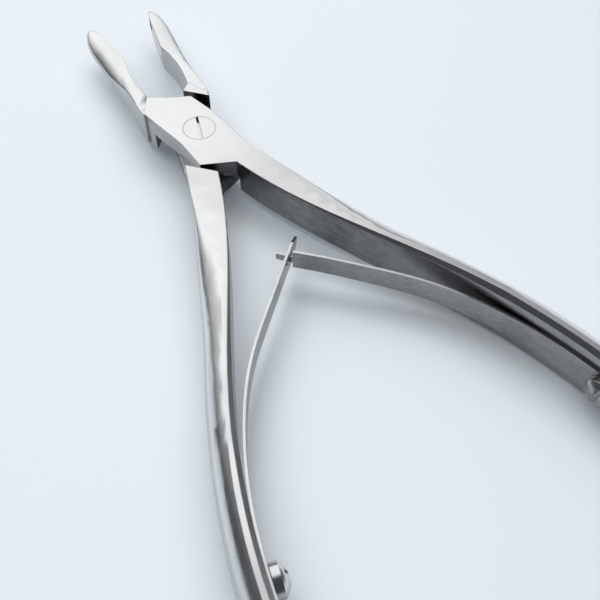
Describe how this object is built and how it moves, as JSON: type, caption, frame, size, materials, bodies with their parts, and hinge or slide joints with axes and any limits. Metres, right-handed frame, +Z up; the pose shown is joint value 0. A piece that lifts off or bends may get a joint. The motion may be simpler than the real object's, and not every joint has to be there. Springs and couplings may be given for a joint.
{
  "type": "bone rongeur",
  "caption": "Bone rongeur: two crossed steel levers with cupped cutting jaws on a screwed lap joint, held open by two interlocking leaf springs between the handles.",
  "frame": {"origin": "middle of the whole tool's width and length, at the height of the table it lies on, with the jaws at rest, open", "axes": "+Y along the tool's midline towards the jaws, +Z up along the pivot axis, +X towards the handle of the upper lever"},
  "size_m": [0.0748, 0.1598, 0.0115],
  "materials": {
    "lever_steel": "satin",
    "spring_steel": "satin",
    "screw_steel": "satin"
  },
  "bodies": {
    "upper": {"upper_lever": "lever_steel", "tongue_leaf_spring": "spring_steel", "right_leaf_screw": "screw_steel"},
    "lower": {"lower_lever": "lever_steel", "pivot_screw": "screw_steel", "slotted_leaf_spring": "spring_steel", "left_leaf_screw": "screw_steel"}
  },
  "joints": [
    {"name": "pivot", "type": "hinge", "parent": "upper", "child": "lower", "pos_m": [0, 0.03813, 0.00575], "axis": [0, 0, 1], "range_deg": [0, 17], "stiffness_Nm_per_rad": 2.5, "springref_deg": -2.86, "deforming": ["tongue_leaf_spring", "slotted_leaf_spring"]}
  ]
}
